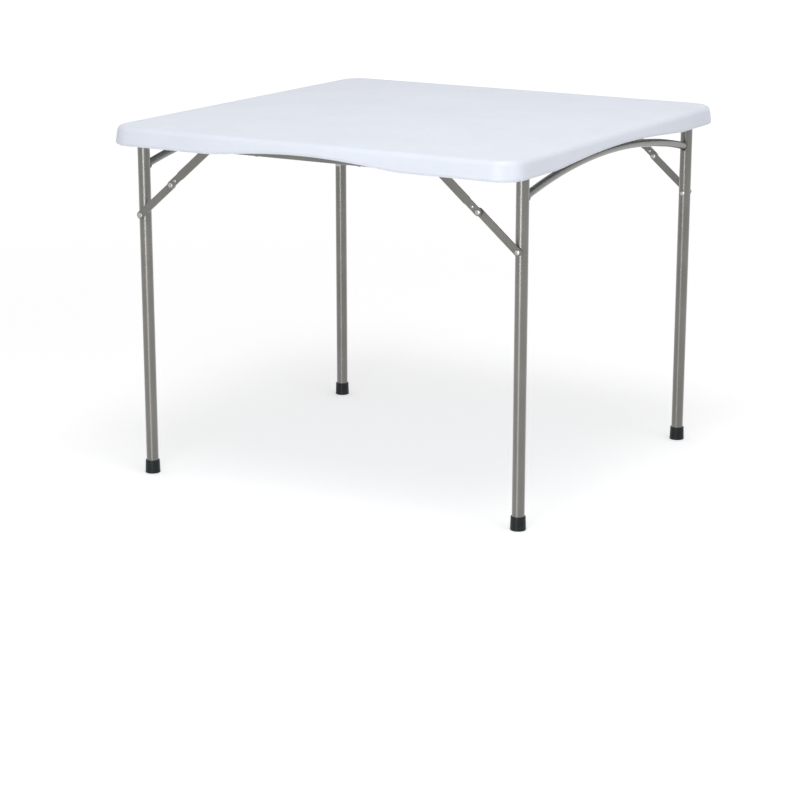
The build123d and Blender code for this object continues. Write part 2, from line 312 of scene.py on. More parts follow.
def tidy_mesh(obj: Obj, smooth_angle: float = 35.0) -> Obj:
    """Merges doubles, points the faces outwards and smooths the shading, flat faces first.

    Args:
        obj: Object to finish.
        smooth_angle: Edges sharper than this angle in degrees stay sharp.

    Returns:
        The same object.
    """
    with editing(obj):
        bpy.ops.mesh.remove_doubles(threshold=TINY)
        bpy.ops.mesh.normals_make_consistent(inside=False)
    bpy.ops.object.shade_smooth_by_angle(angle=math.radians(smooth_angle))
    return modify(obj, "WEIGHTED_NORMAL", keep_sharp=True)


def half_turned(obj: Obj, pair: Pair) -> Obj:
    """Turns a piece of pair a half round for pair b.

    Args:
        obj: The piece, drawn for pair a.
        pair: The pair that it belongs to.

    Returns:
        The same piece.
    """
    if pair is Pair.B:
        obj.rotation_mode = "XYZ"
        obj.rotation_euler = (0, 0, math.pi)
        settle(obj)
    return obj


# Basic shapes


def reach_out(hand: int, near: float, far: float) -> list[float]:
    """Two distances from the middle, to the left or the right, the lowest first."""
    return sorted((hand * near, hand * far))


def block(name: str, low: Point, high: Point) -> Obj:
    """Adds a box between two corners.

    Args:
        name: Name of the new object.
        low: Lowest corner.
        high: Highest corner.

    Returns:
        The box.
    """
    middle = [(a + b) / 2 for a, b in zip(low, high)]
    spans = [b - a for a, b in zip(low, high)]
    return settle(add(name, bpy.ops.mesh.primitive_cube_add, size=1, location=middle, scale=spans))


def turned(name: str, profile: Profile, place: Sequence[float], axis: Point, sides: int) -> Obj:
    """Turns a closed round solid from a profile, ring by ring.

    Args:
        name: Name of the new object.
        profile: Pairs of radius and height along the axis.
        place: Where height 0 stands.
        axis: Direction of the axis.
        sides: Number of vertices in a ring.

    Returns:
        The round solid.
    """
    radius, height = profile[0]
    obj = settle(add(name, bpy.ops.mesh.primitive_circle_add, vertices=sides, radius=radius,
                     fill_type="NGON", location=(0, 0, height)))
    with editing(obj):
        for next_radius, next_height in profile[1:]:
            extrude(0, 0, next_height - height)
            narrow(next_radius / radius, next_height)
            radius, height = next_radius, next_height
        point_out()
    aim(obj, axis)
    obj.location = place
    return settle(obj)


def bore(target: Obj, radius: float, ends: Sequence[float], place: Sequence[float], axis: Point,
         sides: int) -> None:
    """Cuts a round hole.

    Args:
        target: Object that gets the hole.
        radius: Its radius.
        ends: Where it starts and ends along the axis.
        place: Where height 0 of the axis stands.
        axis: Direction of the axis.
        sides: Number of vertices round it.
    """
    combine(target, turned("bore", [(radius, end) for end in ends], place, axis, sides))


def give_wall(obj: Obj, wall: float) -> Obj:
    """Gives a skin a wall inwards.

    Args:
        obj: The skin.
        wall: Thickness of the wall.

    Returns:
        The same object.
    """
    with editing(obj):
        bpy.ops.mesh.normals_make_consistent(inside=False)
    return modify(obj, "SOLIDIFY", thickness=wall, offset=-1)


def tube(name: str, radius: float, wall: float, start: Point, end: Point, sides: int = 64) -> Obj:
    """Straight tube with open ends and a real wall.

    Args:
        name: Name of the new object.
        radius: Outer radius.
        wall: Thickness of the wall.
        start: Middle of one end.
        end: Middle of the other end.
        sides: Number of vertices round it.

    Returns:
        The tube.
    """
    run = Vector(end) - Vector(start)
    obj = add(name, bpy.ops.mesh.primitive_cylinder_add, vertices=sides, radius=radius,
              depth=run.length, end_fill_type="NOTHING", location=(Vector(start) + Vector(end)) / 2)
    aim(obj, run)
    return give_wall(settle(obj), wall)


def domed_head(seat: float, shank: float, root: float, radius: float = 0.0055,
               height: float = 0.002) -> Profile:
    """Profile of a low domed rivet head on its shank.

    Args:
        seat: Height of the head's seat along the rivet.
        shank: Radius of the shank.
        root: Height where the shank starts.
        radius: Radius of the head.
        height: Height of the head.

    Returns:
        Pairs of radius and height.
    """
    foot, rim, crown, fullness, steps = 0.98, 0.18, 0.12, 0.8, 6
    profile = [(shank, root), (shank, seat), (radius * foot, seat), (radius, seat + height * rim)]
    for step in range(1, steps):
        angle = math.radians(90 * step / steps)
        rise = rim + (1 - rim) * math.sin(angle)
        profile.append((radius * math.cos(angle) ** fullness, seat + height * rise))
    profile.append((radius * crown, seat + height))
    return profile


def double_head(low: float, high: float, shank: float, **head_sizes: float) -> Profile:
    """Profile of a rivet with a domed head at both ends.

    Args:
        low: Height of the lower head's seat.
        high: Height of the upper head's seat.
        shank: Radius of the shank.
        head_sizes: Radius and height of the heads, if not the usual ones.

    Returns:
        Pairs of radius and height.
    """
    head = domed_head(high, shank, (low + high) / 2, **head_sizes)[1:]
    return [(reach, low + high - place) for reach, place in reversed(head)] + head


# Finishes


class Graph:
    """Node tree of a material or a world, with short ways to add and link nodes."""

    def __init__(self, owner: Material | bpy.types.World) -> None:
        """Empties the owner's node tree, down to its output.

        Args:
            owner: The material or world.
        """
        owner.use_nodes = True
        self.owner = owner
        self.tree = owner.node_tree
        self.tree.nodes.clear()
        kind = "World" if isinstance(owner, bpy.types.World) else "Material"
        self.output = self.add("ShaderNodeOutput" + kind)

    def add(self, kind: str, inputs: dict[str | int, object] | None = None,
            **settings: object) -> bpy.types.Node:
        """Adds a node.

        Args:
            kind: Type of the node.
            inputs: Plain values of its inputs, or the sockets that feed them.
            settings: Values of its properties.

        Returns:
            The node.
        """
        node = self.tree.nodes.new(kind)
        for key, value in settings.items():
            setattr(node, key, value)
        for key, value in (inputs or {}).items():
            if isinstance(value, Socket):
                self.tree.links.new(value, node.inputs[key])
            else:
                node.inputs[key].default_value = value
        return node

    def show(self, shader: bpy.types.Node) -> None:
        """Links a shader to the output."""
        self.tree.links.new(shader.outputs[0], self.output.inputs["Surface"])

    def coordinates(self, scale: Point = (1, 1, 1)) -> Socket:
        """Object coordinates, stretched by a factor along each axis."""
        source = self.add("ShaderNodeTexCoord").outputs["Object"]
        return self.add("ShaderNodeMapping", {"Scale": scale, "Vector": source}).outputs["Vector"]

    def noise(self, vector: Socket, scale: float, detail: float) -> Socket:
        """Noise texture.

        Args:
            vector: Coordinates.
            scale: Features per metre.
            detail: Number of octaves.

        Returns:
            Its value socket.
        """
        inputs = {"Scale": scale, "Detail": detail, "Roughness": 0.55, "Vector": vector}
        return self.add("ShaderNodeTexNoise", inputs).outputs["Fac"]

    def spread(self, value: Socket, low: float, high: float, from_low: float = 0.3,
               from_high: float = 0.7) -> Socket:
        """Maps a value's usual range to another.

        Args:
            value: Socket to map.
            low: Result at the low end.
            high: Result at the high end.
            from_low: Low end of the source.
            from_high: High end of the source.

        Returns:
            The mapped socket.
        """
        inputs = {"From Min": from_low, "From Max": from_high, "To Min": low, "To Max": high,
                  "Value": value}
        return self.add("ShaderNodeMapRange", inputs).outputs["Result"]

    def blend(self, share: Socket, first: Colour, second: Colour) -> Socket:
        """Mixes two colours.

        Args:
            share: How much of the second colour shows.
            first: Colour at 0.
            second: Colour at 1.

        Returns:
            The colour socket.
        """
        inputs = {"A": (*first, 1), "B": (*second, 1), "Factor": share}
        node = self.add("ShaderNodeMix", inputs, data_type="RGBA")
        return next(out for out in node.outputs if out.type == "RGBA")

    def bump(self, height: Socket, distance: float, strength: float,
             normal: Socket | None = None) -> Socket:
        """Bump from a height.

        Args:
            height: Height socket.
            distance: Depth of the relief in metres.
            strength: Strength of the effect.
            normal: Normal of a coarser relief below it.

        Returns:
            The normal socket.
        """
        inputs = {"Distance": distance, "Strength": strength, "Height": height}
        if normal is not None:
            inputs["Normal"] = normal
        return self.add("ShaderNodeBump", inputs).outputs["Normal"]

    def calculate(self, operation: str, first: Socket, second: Socket) -> Socket:
        """One value from two."""
        return self.add("ShaderNodeMath", {0: first, 1: second}, operation=operation).outputs[0]

    def seen(self) -> Socket:
        """1 for rays that look on from the camera, a mirror or glass, 0 for rays that light."""
        rays = self.add("ShaderNodeLightPath").outputs
        direct = self.calculate("MAXIMUM", rays["Is Camera Ray"], rays["Is Glossy Ray"])
        return self.calculate("MAXIMUM", direct, rays["Is Transmission Ray"])


@dataclass(frozen=True)
class Finish:
    """Base of the finishes: a colour that drifts between two tints, a gloss and a relief."""

    name: str
    dark: Colour
    light: Colour
    drift: tuple[float, float]
    gloss: tuple[float, float]
    shine: Inputs

    def build(self) -> Material:
        """Builds the material.

        Returns:
            The material.
        """
        graph = Graph(bpy.data.materials.new(self.name))
        plain = graph.coordinates()
        share = graph.spread(graph.noise(plain, *self.drift), 0.0, 1.0)
        wear, normal = self.relief(graph, plain)
        inputs = {**dict(self.shine), "Base Color": graph.blend(share, self.dark, self.light),
                  "Roughness": graph.spread(wear, *self.gloss), "Normal": normal}
        graph.show(graph.add("ShaderNodeBsdfPrincipled", inputs))
        return graph.owner

    def relief(self, graph: Graph, plain: Socket) -> tuple[Socket, Socket]:
        """Adds the relief.

        Args:
            graph: The material's node tree.
            plain: Object coordinates.

        Returns:
            The value that the roughness follows, and the normal.
        """
        raise NotImplementedError


@dataclass(frozen=True)
class ResinFinish(Finish):
    """Pale moulded polyethylene with a fine leathery pebble."""

    name: str = "pale_moulded_resin"
    dark: Colour = (0.730, 0.768, 0.854)
    light: Colour = (0.765, 0.803, 0.888)
    drift: tuple[float, float] = (7.0, 4.0)
    gloss: tuple[float, float] = (0.37, 0.46)
    shine: Inputs = (("Metallic", 0.0), ("IOR", 1.5), ("Subsurface Weight", 0.04),
                     ("Subsurface Scale", 0.004))
    pebble: float = 620.0
    pebble_depth: float = 0.00022

    def relief(self, graph: Graph, plain: Socket) -> tuple[Socket, Socket]:
        """Adds a slow swell, the pebble and a fine grain, and a cloudy gloss.

        Args:
            graph: The material's node tree.
            plain: Object coordinates.

        Returns:
            The value that the roughness follows, and the normal.
        """
        swell = graph.bump(graph.noise(plain, 24.0, 2.0), 0.0009, 0.35)
        cells = graph.add("ShaderNodeTexVoronoi", {"Scale": self.pebble, "Vector": plain},
                          feature="SMOOTH_F1")
        pebbled = graph.bump(cells.outputs["Distance"], self.pebble_depth, 0.30, swell)
        fine = graph.bump(graph.noise(plain, 1500.0, 2.0), 0.00005, 0.35, pebbled)
        return graph.noise(plain, 55.0, 3.0), fine


@dataclass(frozen=True)
class PowderFinish(Finish):
    """Satin grey powder coat with a clear gloss over it and a faint orange peel."""

    name: str = "grey_powder_coat"
    dark: Colour = (0.140, 0.136, 0.122)
    light: Colour = (0.162, 0.157, 0.141)
    drift: tuple[float, float] = (14.0, 0.0)
    gloss: tuple[float, float] = (0.28, 0.32)
    shine: Inputs = (("Metallic", 0.35), ("IOR", 1.5), ("Coat Weight", 1.0),
                     ("Coat Roughness", 0.20))
    peel: float = 260.0

    def relief(self, graph: Graph, plain: Socket) -> tuple[Socket, Socket]:
        """Adds the orange peel and a fine grain; the gloss drifts as slowly as the colour.

        Args:
            graph: The material's node tree.
            plain: Object coordinates.

        Returns:
            The value that the roughness follows, and the normal.
        """
        coarse = graph.bump(graph.noise(plain, self.peel, 0.0), 0.00008, 0.05)
        fine = graph.bump(graph.noise(plain, 1600.0, 0.0), 0.00002, 0.04, coarse)
        return graph.noise(plain, *self.drift), fine


@dataclass(frozen=True)
class ZincFinish(Finish):
    """Bright zinc plate, slightly scuffed."""

    name: str = "bright_zinc_plate"
    dark: Colour = (0.38, 0.375, 0.365)
    light: Colour = (0.50, 0.495, 0.485)
    drift: tuple[float, float] = (260.0, 4.0)
    gloss: tuple[float, float] = (0.18, 0.32)
    shine: Inputs = (("Metallic", 0.85), ("IOR", 1.5))

    def relief(self, graph: Graph, plain: Socket) -> tuple[Socket, Socket]:
        """Adds fine scuffs across the pieces.

        Args:
            graph: The material's node tree.
            plain: Object coordinates; not used.

        Returns:
            The value that the roughness follows, and the normal.
        """
        scuff = graph.noise(graph.coordinates((1, 6, 1)), 700.0, 3.0)
        return scuff, graph.bump(scuff, 0.00002, 0.4)


@dataclass(frozen=True)
class RubberFinish(Finish):
    """Black rubber with a satin sheen, slightly greyer in places."""

    name: str = "matt_black_rubber"
    dark: Colour = (0.004, 0.007, 0.008)
    light: Colour = (0.009, 0.014, 0.016)
    drift: tuple[float, float] = (90.0, 5.0)
    gloss: tuple[float, float] = (0.34, 0.48)
    shine: Inputs = (("Metallic", 0.0), ("IOR", 1.32))

    def relief(self, graph: Graph, plain: Socket) -> tuple[Socket, Socket]:
        """Adds the grain of the mould.

        Args:
            graph: The material's node tree.
            plain: Object coordinates.

        Returns:
            The value that the roughness follows, and the normal.
        """
        grain = graph.noise(plain, 1400.0, 3.0)
        return grain, graph.bump(grain, 0.00005, 0.3)


Finishes = dict[Slot, Material]
FINISHES: dict[Slot, Finish] = {Slot.RESIN: ResinFinish(), Slot.PAINT: PowderFinish(),
                                Slot.ZINC: ZincFinish(), Slot.RUBBER: RubberFinish()}


def dress(obj: Obj, finishes: Finishes, body: str, slot: Slot, node: str) -> None:
    """Gives a finished piece its finish, its body and the node that it stands for.

    Args:
        obj: The finished piece.
        finishes: The material of each slot.
        body: Body of the frame that it moves with.
        slot: Material slot of the record.
        node: Node of the frame that it replaces.
    """
    obj.data.materials.clear()
    obj.data.materials.append(finishes[slot])
    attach(obj, body)
    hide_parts(node)
    LOG.info("%s: %d faces, rides on %s", obj.name, len(obj.data.polygons), body)


# The table's own pieces


@dataclass(frozen=True)
class Layout:
    """Places that several sub-assemblies share, given for pair a and its arched brace."""

    pivot_x: float = 0.424
    pivot_z: float = 0.715
    rivet_drop: float = 0.160
    outer_leg: float = 0.403
    inner_leg: float = -0.349
    rail_y: float = 0.433
    rail_z: float = 0.705
    rail_top: float = 0.725
    rail_half: float = 0.439
    floor_z: float = 0.732
    apex_drop: float = 0.0162
    end_drop: float = 0.060
    half_span: float = 0.376
    offset: float = 0.027

    @property
    def radius(self) -> float:
        """Radius of the arched brace."""
        sagitta = self.end_drop - self.apex_drop
        return (self.half_span**2 + sagitta**2) / (2 * sagitta)

    @property
    def centre_x(self) -> float:
        """X of the centre of the brace's arc when the legs are folded."""
        return self.pivot_x - self.apex_drop - self.radius

    def leg_y(self, side: Side) -> float:
        """Place of a leg along the pivot tube."""
        return self.outer_leg if side is Side.OUTER else self.inner_leg

    def brace_x(self, y: float) -> float:
        """X of the folded brace's centre line."""
        return self.centre_x + math.sqrt(self.radius**2 - (y - self.offset) ** 2)

    def disc(self, inward: float, low: float, high: float, pair: Pair) -> Obj:
        """Upright disc whose rim follows the folded brace.

        Args:
            inward: How far inside the brace's centre line the rim runs.
            low: Lowest Z.
            high: Highest Z.
            pair: The leg pair.

        Returns:
            The disc.
        """
        middle = (pair.sign * self.centre_x, pair.sign * self.offset, (low + high) / 2)
        return settle(add("disc", bpy.ops.mesh.primitive_cylinder_add, vertices=900,
                          radius=self.radius - inward, depth=high - low, end_fill_type="NGON",
                          location=middle))


@dataclass
class MouldedTop:
    """Blow-moulded top: skirt, recess, raised centre, pads and dimples."""

    finishes: Finishes
    layout: Layout
    side: float = 0.940
    top_z: float = 0.743
    skirt_z: float = 0.703
    island_z: float = 0.716
    draft: float = 0.005
    corner: float = 0.050
    edge_round: float = 0.011
    lip_outer: float = 0.0075
    lip_inner: float = 0.0030
    lip_border: float = 0.007
    lip_slack: float = 0.002
    rim_inset: float = 0.001
    rim_depth: float = 0.020
    rim_slack: float = 0.004
    above_rim: float = 0.010
    wall: float = 0.017
    pocket_corner: float = 0.016
    pocket_draft: float = 0.003
    pocket_round: float = 0.003
    seat_near: float = 0.4333
    seat_far: float = 0.480
    arch_rise: float = 0.014
    arch_fullness: float = 1.35
    side_arch: float = 0.222
    end_arch: float = 0.295
    arch_steps: int = 22
    island_half: float = 0.328
    island_spare: float = 0.1
    island_gap: float = 0.013
    island_corner: float = 0.012
    island_round: float = 0.0025
    pad_x: tuple[float, float] = (0.372, 0.411)
    pad_reach: tuple[float, float] = (0.218, 0.3583)
    pad_corner: float = 0.002
    pad_round: float = 0.0015
    dimple_pitch: float = 0.044
    dimple_stretch: float = 1.5
    dimple_overlap: float = 0.004
    dimple_inset: float = 0.003
    dimple_slack: float = 0.001
    strip_x: float = 0.441
    strip_count: int = 9
    lane_column: int = 15
    wall_face: float = 0.4525
    shallow: float = 0.9955
    vent_x: float = -0.290
    vent_y: float = 0.459
    overrun: float = 0.004
    tool_overrun: float = 0.01
    pit_overrun: float = 0.002

    @property
    def high(self) -> float:
        """Upper end of the tools that reach into the top above its recess."""
        return self.layout.floor_z + self.overrun

    def build(self) -> None:
        """Builds the top."""
        top = self.drafted("slab", self.side / 2, (self.skirt_z, self.top_z), self.draft,
                           (self.corner, 12), (self.edge_round, 6))
        combine(top, self.recess())
        self.raise_skirt(top)
        for outer, radius, segments in ((True, self.lip_outer, 5), (False, self.lip_inner, 3)):
            bevel_edges(top, lambda edge: self.on_lip(edge, outer), radius, segments)
        combine(top, self.dimples())
        tidy_mesh(top, 38.0)
        dress(named(top, "moulded_top"), self.finishes, "top", Slot.RESIN, "table_top")

    def drafted(self, name: str, half: float, ends: tuple[float, float], draft: float,
                corner: tuple[float, int], edge: tuple[float, int]) -> Obj:
        """Square block that narrows upwards, with rounded corners and a rounded upper edge.

        Args:
            name: Name of the new object.
            half: Half of its side.
            ends: Its lowest and highest Z.
            draft: How far its upper edge lies inside the lower one.
            corner: Radius of its upright edges, and faces across it.
            edge: Radius of its upper edge, and faces across it.

        Returns:
            The block.
        """
        low, high = ends
        obj = block(name, (-half, -half, low), (half, half, high))
        bevel_edges(obj, is_upright, *corner)
        with editing(obj):
            select(obj, "FACE", lambda face: face.normal.z > FACING)
            narrow(1 - draft / half, high)
        bevel_edges(obj, above(high), *edge)
        return obj

    def recess(self) -> Obj:
        """Tool that hollows the underside and leaves the centre, pads and rail seats standing.

        Returns:
            The tool.
        """
        ends = (self.skirt_z - self.overrun, self.layout.floor_z)
        tool = self.drafted("recess", self.side / 2 - self.wall, ends, self.pocket_draft,
                            (self.pocket_corner, 6), (self.pocket_round, 3))
        for block_left in (self.island(), *self.pads()):
            combine(tool, block_left)
        for hand in HANDS:
            low_y, high_y = reach_out(hand, self.seat_near, self.seat_far)
            combine(tool, block("seat", (-self.layout.rail_half, low_y, self.layout.rail_top),
                                (self.layout.rail_half, high_y, self.high)))
        return tool

    def island(self) -> Obj:
        """Raised centre, whose ends follow the folded braces.

        Returns:
            The block.
        """
        width, length = self.island_half, self.island_half + self.island_spare
        island = block("island", (-length, -width, self.island_z), (length, width, self.high))
        for pair in Pair:
            disc = self.layout.disc(self.island_gap, self.island_z - self.tool_overrun,
                                    self.high + self.tool_overrun, pair)
            combine(island, disc, "INTERSECT")

        def is_corner(edge: Edge) -> bool:
            """Says whether an edge stands at one of the four corners."""
            return is_upright(edge) and abs(abs(edge.verts[0].co.y) - width) < NEAR

        bevel_edges(island, is_corner, self.island_corner, 6)
        bevel_edges(island, below(self.island_z), self.island_round, 3)
        return island

    def pads(self) -> list[Obj]:
        """Small raised pads between the pivot tubes and the folded braces.

        Returns:
            The blocks.
        """
        made = []
        near_x, far_x = self.pad_x
        for pair in Pair:
            for hand in HANDS:
                low_y, high_y = sorted(self.layout.offset + hand * y for y in self.pad_reach)
                pad = block("pad", (near_x, low_y, self.island_z), (far_x, high_y, self.high))
                combine(pad, self.layout.disc(-self.island_gap, self.island_z - self.tool_overrun,
                                              self.layout.floor_z + self.tool_overrun, Pair.A))
                bevel_edges(pad, is_upright, self.pad_corner, 2)
                bevel_edges(pad, below(self.island_z), self.pad_round, 2)
                made.append(half_turned(pad, pair))
        return made

    def raise_skirt(self, top: Obj) -> None:
        """Lifts the middle of each side's lower edge in a shallow arch.

        Args:
            top: The hollowed top.
        """
        rim = self.side / 2 - self.wall - self.rim_inset
        at_foot = below(self.skirt_z)
        for along, half in ((0, self.side_arch), (1, self.end_arch)):
            across = 1 - along
            normal = (1 - along, along, 0)

            def on_skirt(face: bmesh.types.BMFace) -> bool:
                """Says whether a face is at the foot of the skirt or in one of its walls.

                Args:
                    face: The face.

                Returns:
                    Whether it is.
                """
                middle = face.calc_center_median()
                outside = all(abs(vert.co[across]) > rim - self.rim_slack for vert in face.verts)
                return at_foot(face) or (abs(middle[across]) > rim - self.rim_depth
                                         and middle.z < self.top_z - self.above_rim and outside)

            def on_cut(vert: bmesh.types.BMVert) -> bool:
                """Says whether a vertex lies at the foot of the skirt, at the present place."""
                return (abs(vert.co.z - self.skirt_z) < TINY and abs(vert.co[along] - place) < TINY
                        and abs(vert.co[across]) > rim)

            places = [half * step / self.arch_steps
                      for step in range(-self.arch_steps, self.arch_steps + 1)]
            with editing(top):
                for place in places:
                    select(top, "FACE", on_skirt)
                    bpy.ops.mesh.bisect(plane_co=tuple(place * n for n in normal), plane_no=normal,
                                        use_fill=False)
                for place in places[1:-1]:
                    select(top, "VERT", on_cut)
                    share = abs(place) / half
                    rise = self.arch_rise * (1 - share * share) ** self.arch_fullness
                    bpy.ops.transform.translate(value=(0, 0, rise))

    def on_lip(self, edge: Edge, outer: bool) -> bool:
        """Says whether an edge is the outer or the inner one along the skirt's foot.

        Args:
            edge: The edge.
            outer: Which of the two is meant.

        Returns:
            Whether it is that one.
        """
        highest = self.skirt_z + self.arch_rise + self.lip_slack
        if len(edge.link_faces) != 2 or max(v.co.z for v in edge.verts) > highest:
            return False
        downs = [face.normal.z < -0.8 for face in edge.link_faces]
        if downs[0] == downs[1]:
            return False
        straight = self.side / 2 - self.corner
        place = (edge.verts[0].co + edge.verts[1].co) / 2
        reach = math.hypot(max(abs(place.x) - straight, 0), max(abs(place.y) - straight, 0))
        return (reach > self.corner - self.lip_border) == outer

    def lattice(self, half_rows: int, half_columns: int) -> Iterator[tuple[int, float, float]]:
        """Staggered lattice over the underside.

        Args:
            half_rows: Rows on either side of the middle.
            half_columns: Columns on either side of the middle.

        Yields:
            Column number, X and Y of each place.
        """
        step = self.dimple_pitch / 2
        for row in range(-half_rows, half_rows + 1):
            for column in range(-half_columns, half_columns + 1):
                if (row + column) % 2 == 0:
                    yield column, row * step, column * step

    def on_raised(self, x: float, y: float) -> bool:
        """Says whether a dimple cuts the raised centre or a pad.

        Args:
            x: Place of the dimple along X.
            y: Place of the dimple along Y.

        Returns:
            Whether it does.
        """
        overlap, slack = self.dimple_overlap, self.dimple_slack
        if abs(y) > self.island_half + overlap or abs(x) > self.pad_x[1] + slack:
            return False
        hand = 1 if x > 0 else -1
        inner = hand * x - self.layout.brace_x(hand * y)
        if inner < -self.island_gap + self.dimple_inset:
            return True
        on_pad = abs(hand * y - self.layout.offset) > self.pad_reach[0] + overlap
        return inner > self.island_gap - slack and on_pad

    def dimples(self) -> Obj:
        """All the dimples, pits, flutes and vents of the underside as one tool.

        Returns:
            The tool.
        """
        low, floor = self.island_z, self.layout.floor_z
        foot = self.skirt_z - self.pit_overrun
        oval = [(0.0068, low - 0.0012), (0.0054, low + 0.0008), (0.0050, low + 0.0022),
                (0.0046, 0.7366), (0.0041, 0.7384), (0.0030, 0.7390)]
        small = [(0.0035, floor - 0.0007), (0.0025, floor + 0.0008), (0.0021, 0.7375)]
        strip = [(0.0057, floor - 0.0007), (0.0045, floor + 0.0008), (0.0034, 0.7388)]
        flute = [(0.0044, foot), (0.0044, 0.7340), (0.0038, 0.7352)]
        vent = [(0.0015, foot), (0.0015, self.skirt_z + 0.010)]
        count = self.strip_count
        steps = [step * self.dimple_pitch for step in range(-count, count + 1)]
        halves = [step + self.dimple_pitch / 2 for step in steps[:-1]]
        ends = (-self.strip_x, self.strip_x)
        walls = (-self.wall_face, self.wall_face)
        raised = [(x, y) for _, x, y in self.lattice(19, self.lane_column) if self.on_raised(x, y)]
        lanes = [(x, y) for column, x, y in self.lattice(18, 19) if abs(column) > self.lane_column]
        kinds = [
            (oval, (self.dimple_stretch, 1), raised, 16),
            (small, (1, 1), lanes, 12),
            (strip, (1, 2.1), [(x, y) for x in ends for y in steps], 14),
            (small, (1, 1), [(x, y) for x in ends for y in halves], 12),
            (flute, (1, 2.2), [(x * self.shallow, y) for x in walls for y in steps], 14),
            (flute, (2.0, 1), [(x, y) for y in walls for x in steps], 14),
            (vent, (1, 1), [(self.vent_x, -self.vent_y), (self.vent_x, self.vent_y)], 16),
        ]
        return settle(merge([pit for kind in kinds for pit in self.copies(*kind)], "dimples"))

    def copies(self, profile: Profile, stretch: tuple[float, float],
               places: list[tuple[float, float]], sides: int) -> list[Obj]:
        """Copies of one upright pit.

        Args:
            profile: Pairs of radius and height.
            stretch: Factors along X and Y.
            places: Where the copies stand.
            sides: Number of vertices in a ring.

        Returns:
            The copies, each with its own mesh.
        """
        first = turned("pit", profile, (0, 0, 0), UP, sides)
        first.scale = (*stretch, 1)
        settle(first)
        made = []
        for x, y in places:
            pit = first.copy()
            pit.data = first.data.copy()
            bpy.context.scene.collection.objects.link(pit)
            pit.location = (x, y, 0)
            made.append(pit)
        bpy.data.objects.remove(first, do_unlink=True)
        return made


@dataclass
class SideRails:
    """The two box tubes seated on ledges of the top, and their screws."""

    finishes: Finishes
    layout: Layout
    high_y: float = 0.448
    wall: float = 0.0015
    corner: float = 0.0025
    bearing_radius: float = 0.00808
    bearing_reach: float = 0.003
    screw_shares: tuple[float, ...] = (-0.80, -0.27, 0.27, 0.80)
    cross: tuple[float, float] = (0.0019, 0.0004)
    cross_depth: tuple[float, float] = (0.003, 0.0008)

    def build(self) -> None:
        """Builds both rails and their screws."""
        for hand, node in zip(HANDS, ("rail_left", "rail_right")):
            rail = tidy_mesh(self.rail("box_" + node, hand))
            dress(rail, self.finishes, "top", Slot.PAINT, node)
        middle = (self.layout.rail_y + self.high_y) / 2
        screws = [self.screw((share * self.layout.rail_half, hand * middle, self.layout.rail_z))
                  for hand in HANDS for share in self.screw_shares]
        screws = tidy_mesh(merge(screws, "pan_head_screws"))
        dress(screws, self.finishes, "top", Slot.ZINC, "rail_screws")

    def rail(self, name: str, hand: int) -> Obj:
        """One rail, open at its ends, with the bearings of both pivot tubes.

        Args:
            name: Name of the piece.
            hand: -1 for the left rail, 1 for the right one.

        Returns:
            The rail.
        """
        layout = self.layout
        low_y, high_y = reach_out(hand, layout.rail_y, self.high_y)
        rail = block(name, (-layout.rail_half, low_y, layout.rail_z),
                     (layout.rail_half, high_y, layout.rail_top))
        bevel_edges(rail, runs_along, self.corner, 4)
        with editing(rail):
            select(rail, "FACE", lambda face: abs(face.normal.x) > FACING)
            bpy.ops.mesh.delete(type="FACE")
        give_wall(rail, self.wall)
        reach = self.bearing_reach
        ends = reach_out(hand, layout.rail_y - reach, layout.rail_y + reach)
        for x in (-layout.pivot_x, layout.pivot_x):
            bore(rail, self.bearing_radius, ends, (x, 0, layout.pivot_z), ALONG_Y, 48)
        return rail

    def screw(self, place: Point) -> Obj:
        """Pan-head screw with a cross recess, pointing up.

        Args:
            place: Middle of the seat of its head.

        Returns:
            The screw.
        """
        profile = [(0.0016, 0.0018), (0.0028, 0.0016), (0.0036, 0.0010), (0.0040, 0.0002),
                   (0.0040, 0.0), (0.0020, 0.0), (0.0020, -0.0285)]
        body = turned("screw", profile, place, (0, 0, -1), sides=20)
        x, y, z = place
        deep, shallow = self.cross_depth
        for half_x, half_y in (self.cross, self.cross[::-1]):
            combine(body, block("slot", (x - half_x, y - half_y, z - deep),
                                (x + half_x, y + half_y, z - shallow)))
        return body


@dataclass
class PairWork:
    """Base of what stands in a leg pair: drawn for pair a, and turned for pair b."""

    finishes: Finishes
    layout: Layout
    pair: Pair

    def fit(self, obj: Obj, body: str, slot: Slot, node: str) -> None:
        """Turns a finished piece to its pair and dresses it."""
        dress(tidy_mesh(half_turned(obj, self.pair)), self.finishes, body, slot, node)


